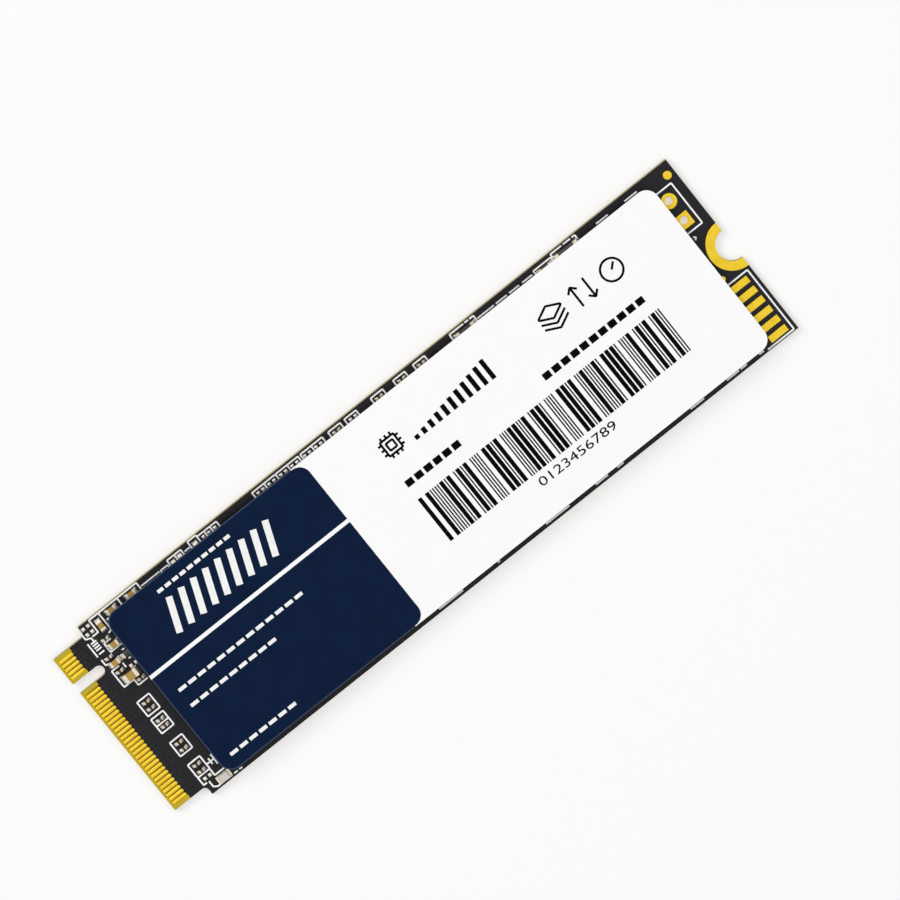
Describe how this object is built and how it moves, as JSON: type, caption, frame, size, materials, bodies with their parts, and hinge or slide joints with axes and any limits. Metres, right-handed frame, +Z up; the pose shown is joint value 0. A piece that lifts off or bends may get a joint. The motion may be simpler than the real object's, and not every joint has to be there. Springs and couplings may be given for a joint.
{
  "type": "solid-state drive card",
  "caption": "Flat solid-state drive card with a keyed edge connector, a half-round screw notch, soldered chips under a printed label, and small chip parts along one edge.",
  "frame": {"origin": "middle of the underside of the board, which is also the bottom centre of the whole card", "axes": "+X along the card from the edge connector to the screw notch, +Y across it towards the key slot, +Z up out of the label side"},
  "size_m": [0.08, 0.022, 0.0021],
  "materials": {
    "board": "satin black coating on woven glass laminate",
    "gold": "gold plating",
    "solder": "tinned solder",
    "capacitor_ceramic": "matt brown ceramic",
    "resistor_body": "black glazed ceramic",
    "tinned_end": "tinned metal",
    "chip_mould": "moulded epoxy",
    "inductor_body": "pressed metal powder",
    "crystal_base": "dark ceramic",
    "crystal_lid": "plated metal lid",
    "led_base": "white laminate",
    "led_lens": "milky resin",
    "label_white": "satin white film",
    "label_blue": "dark blue print on film",
    "label_ink": "black print"
  },
  "bodies": {
    "root": {"circuit_board": "board", "edge_contacts_top": "gold", "edge_contacts_bottom": "gold", "mounting_pad_top": "gold", "mounting_pad_bottom": "gold", "header_pad_round": "gold", "header_pad_square": "gold", "debug_pads": "gold", "round_dots": "gold", "solder_pads": "solder", "solder_joints": "solder", "bulk_capacitor_bodies": "capacitor_ceramic", "bulk_capacitor_terminals": "tinned_end", "large_capacitor_bodies": "capacitor_ceramic", "large_capacitor_terminals": "tinned_end", "small_capacitor_bodies": "capacitor_ceramic", "small_capacitor_terminals": "tinned_end", "tiny_capacitor_bodies": "capacitor_ceramic", "tiny_capacitor_terminals": "tinned_end", "resistor_bodies": "resistor_body", "resistor_terminals": "tinned_end", "sense_resistor_bodies": "resistor_body", "sense_resistor_terminals": "tinned_end", "activity_led_base": "led_base", "activity_led_lens": "led_lens", "activity_led_terminals": "tinned_end", "controller_chip": "chip_mould", "controller_solder_balls": "solder", "flash_memory_a": "chip_mould", "flash_memory_b": "chip_mould", "flash_solder_balls": "solder", "power_chip": "chip_mould", "power_chip_lands": "solder", "inductor_bodies": "inductor_body", "inductor_terminals": "tinned_end", "clock_crystal_base": "crystal_base", "clock_crystal_lid": "crystal_lid", "label_sheet": "label_white", "label_blue_panels": "label_blue", "label_barcode": "label_ink"}
  },
  "joints": []
}
